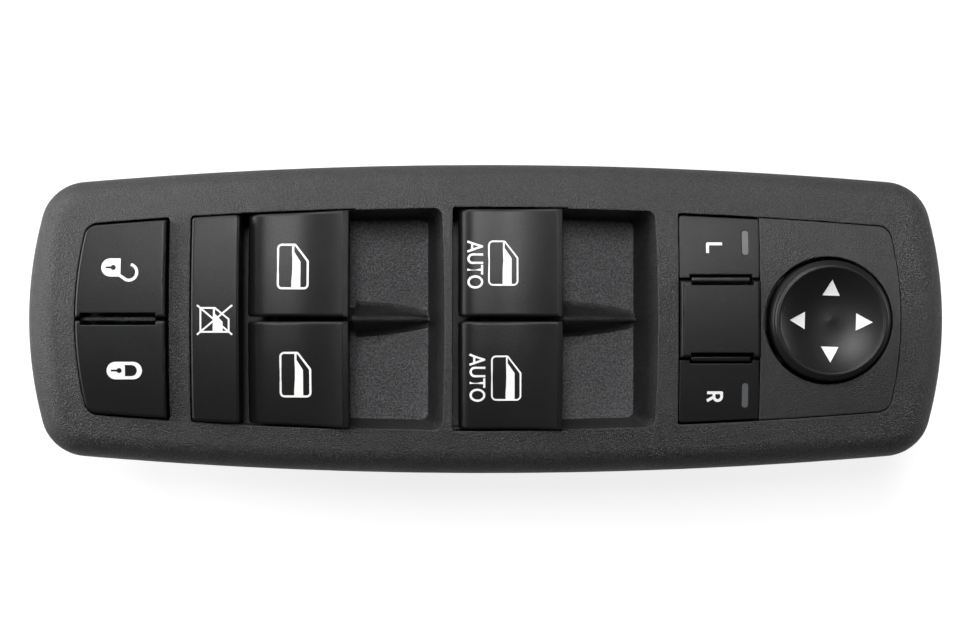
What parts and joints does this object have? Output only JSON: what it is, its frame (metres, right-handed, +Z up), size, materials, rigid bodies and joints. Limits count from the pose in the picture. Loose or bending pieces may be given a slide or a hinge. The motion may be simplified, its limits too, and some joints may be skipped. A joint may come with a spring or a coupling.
{
  "type": "power window switch panel",
  "caption": "Crowned black door switch panel: window rocker keys over finger wells, lock keys, window lockout key, mirror selector keys and a round tilting mirror knob.",
  "frame": {"origin": "middle of the flat bottom of the case, under the middle of the bezel's outline", "axes": "+X along the panel towards the mirror knob (front of the car), +Y across it towards the left-hand keys, +Z up out of the keys' faces"},
  "size_m": [0.215, 0.0732, 0.05],
  "materials": {
    "grained_black": "fine grain",
    "satin_black": "satin",
    "gloss_black": "gloss",
    "case_plastic": "moulded",
    "connector_plastic": "moulded",
    "board": "solder mask",
    "contact_brass": "bright",
    "steel": "plated",
    "silicone": "soft",
    "lens": "diffusing",
    "natural_acetal": "smooth"
  },
  "bodies": {
    "housing": {"bezel": "grained_black", "bottom_cover": "case_plastic", "case_screws": "steel", "front_key_shaft": "steel", "front_slider_guide": "case_plastic", "knob_dome_mat": "silicone", "left_mirror_dome": "silicone", "lock_circuit_board": "board", "lock_dome": "silicone", "lockout_spring": "steel", "main_case": "case_plastic", "main_circuit_board": "board", "main_connector": "connector_plastic", "main_connector_pins": "contact_brass", "mirror_bars": "gloss_black", "mirror_blank_key": "satin_black", "mirror_case": "case_plastic", "mirror_circuit_board": "board", "mirror_connector": "connector_plastic", "mirror_connector_pins": "contact_brass", "mirror_panel": "grained_black", "rear_key_shaft": "steel", "rear_slider_guide": "case_plastic", "retaining_clips": "steel", "right_mirror_dome": "silicone", "unlock_dome": "silicone"},
    "rear_left_window_key": {"rear_left_key": "satin_black", "rear_left_plunger": "natural_acetal", "rear_left_plunger_spring": "steel"},
    "rear_left_contact": {"rear_left_slider": "natural_acetal", "rear_left_wiper": "contact_brass"},
    "rear_right_window_key": {"rear_right_key": "satin_black", "rear_right_plunger": "natural_acetal", "rear_right_plunger_spring": "steel"},
    "rear_right_contact": {"rear_right_slider": "natural_acetal", "rear_right_wiper": "contact_brass"},
    "front_left_window_key": {"front_left_key": "satin_black", "front_left_plunger": "natural_acetal", "front_left_plunger_spring": "steel"},
    "front_left_contact": {"front_left_slider": "natural_acetal", "front_left_wiper": "contact_brass"},
    "front_right_window_key": {"front_right_key": "satin_black", "front_right_plunger": "natural_acetal", "front_right_plunger_spring": "steel"},
    "front_right_contact": {"front_right_slider": "natural_acetal", "front_right_wiper": "contact_brass"},
    "unlock_rocker": {"unlock_key": "satin_black"},
    "lock_rocker": {"lock_key": "satin_black"},
    "lockout_button": {"lockout_key": "satin_black", "lockout_contact": "contact_brass"},
    "left_mirror_button": {"left_mirror_key": "satin_black", "left_mirror_lens": "lens"},
    "right_mirror_button": {"right_mirror_key": "satin_black", "right_mirror_lens": "lens"},
    "gimbal_ring": {"mirror_gimbal": "natural_acetal"},
    "knob": {"mirror_knob": "satin_black"}
  },
  "joints": [
    {"name": "rear_left_tilt", "type": "hinge", "parent": "housing", "child": "rear_left_window_key", "pos_m": [-0.0502, 0.012, 0.0375], "axis": [0, 1, 0], "range_deg": [-6, 6], "stiffness_Nm_per_rad": 0.06},
    {"name": "rear_left_contact_slide", "type": "slide", "parent": "housing", "child": "rear_left_contact", "axis": [1, 0, 0], "range_m": [-0.0026, 0.0026]},
    {"name": "rear_right_tilt", "type": "hinge", "parent": "housing", "child": "rear_right_window_key", "pos_m": [-0.0502, -0.012, 0.0375], "axis": [0, 1, 0], "range_deg": [-6, 6], "stiffness_Nm_per_rad": 0.06},
    {"name": "rear_right_contact_slide", "type": "slide", "parent": "housing", "child": "rear_right_contact", "axis": [1, 0, 0], "range_m": [-0.0026, 0.0026]},
    {"name": "front_left_tilt", "type": "hinge", "parent": "housing", "child": "front_left_window_key", "pos_m": [-0.0007, 0.012, 0.0375], "axis": [0, 1, 0], "range_deg": [-6, 6], "stiffness_Nm_per_rad": 0.06},
    {"name": "front_left_contact_slide", "type": "slide", "parent": "housing", "child": "front_left_contact", "axis": [1, 0, 0], "range_m": [-0.0026, 0.0026]},
    {"name": "front_right_tilt", "type": "hinge", "parent": "housing", "child": "front_right_window_key", "pos_m": [-0.0007, -0.012, 0.0375], "axis": [0, 1, 0], "range_deg": [-6, 6], "stiffness_Nm_per_rad": 0.06},
    {"name": "front_right_contact_slide", "type": "slide", "parent": "housing", "child": "front_right_contact", "axis": [1, 0, 0], "range_m": [-0.0026, 0.0026]},
    {"name": "unlock_tilt", "type": "hinge", "parent": "housing", "child": "unlock_rocker", "pos_m": [-0.0844, 0.0042, 0.038], "axis": [-1, 0, 0], "range_deg": [0, 3], "stiffness_Nm_per_rad": 0.08, "springref_deg": -1.15, "deforming": ["unlock_dome"]},
    {"name": "lock_tilt", "type": "hinge", "parent": "housing", "child": "lock_rocker", "pos_m": [-0.0844, -0.0042, 0.038], "axis": [1, 0, 0], "range_deg": [0, 3], "stiffness_Nm_per_rad": 0.08, "springref_deg": -1.15, "deforming": ["lock_dome"]},
    {"name": "lockout_press", "type": "slide", "parent": "housing", "child": "lockout_button", "axis": [0, 0, -1], "range_m": [0, 0.002], "stiffness_N_per_m": 400, "springref_m": -0.001, "deforming": ["lockout_spring"]},
    {"name": "left_mirror_tilt", "type": "hinge", "parent": "housing", "child": "left_mirror_button", "pos_m": [0.0542, 0.014, 0.0413], "axis": [-1, 0, 0], "range_deg": [0, 3], "stiffness_Nm_per_rad": 0.03, "springref_deg": -1.15, "deforming": ["left_mirror_dome"]},
    {"name": "right_mirror_tilt", "type": "hinge", "parent": "housing", "child": "right_mirror_button", "pos_m": [0.0542, -0.014, 0.0413], "axis": [1, 0, 0], "range_deg": [0, 3], "stiffness_Nm_per_rad": 0.03, "springref_deg": -1.15, "deforming": ["right_mirror_dome"]},
    {"name": "knob_tilt_sideways", "type": "hinge", "parent": "housing", "child": "gimbal_ring", "pos_m": [0.0794, -0.00035, 0.0416], "axis": [1, 0, 0], "range_deg": [-5, 5], "stiffness_Nm_per_rad": 0.05, "deforming": ["knob_dome_mat"]},
    {"name": "knob_tilt_lengthways", "type": "hinge", "parent": "gimbal_ring", "child": "knob", "pos_m": [0.0794, -0.00035, 0.0416], "axis": [0, 1, 0], "range_deg": [-5, 5], "stiffness_Nm_per_rad": 0.05, "deforming": ["knob_dome_mat"]}
  ],
  "couplings": [
    {"joint": "rear_left_contact_slide", "follows": "rear_left_tilt", "m_per_rad": -0.0223},
    {"joint": "rear_right_contact_slide", "follows": "rear_right_tilt", "m_per_rad": -0.0223},
    {"joint": "front_left_contact_slide", "follows": "front_left_tilt", "m_per_rad": -0.0223},
    {"joint": "front_right_contact_slide", "follows": "front_right_tilt", "m_per_rad": -0.0223}
  ]
}
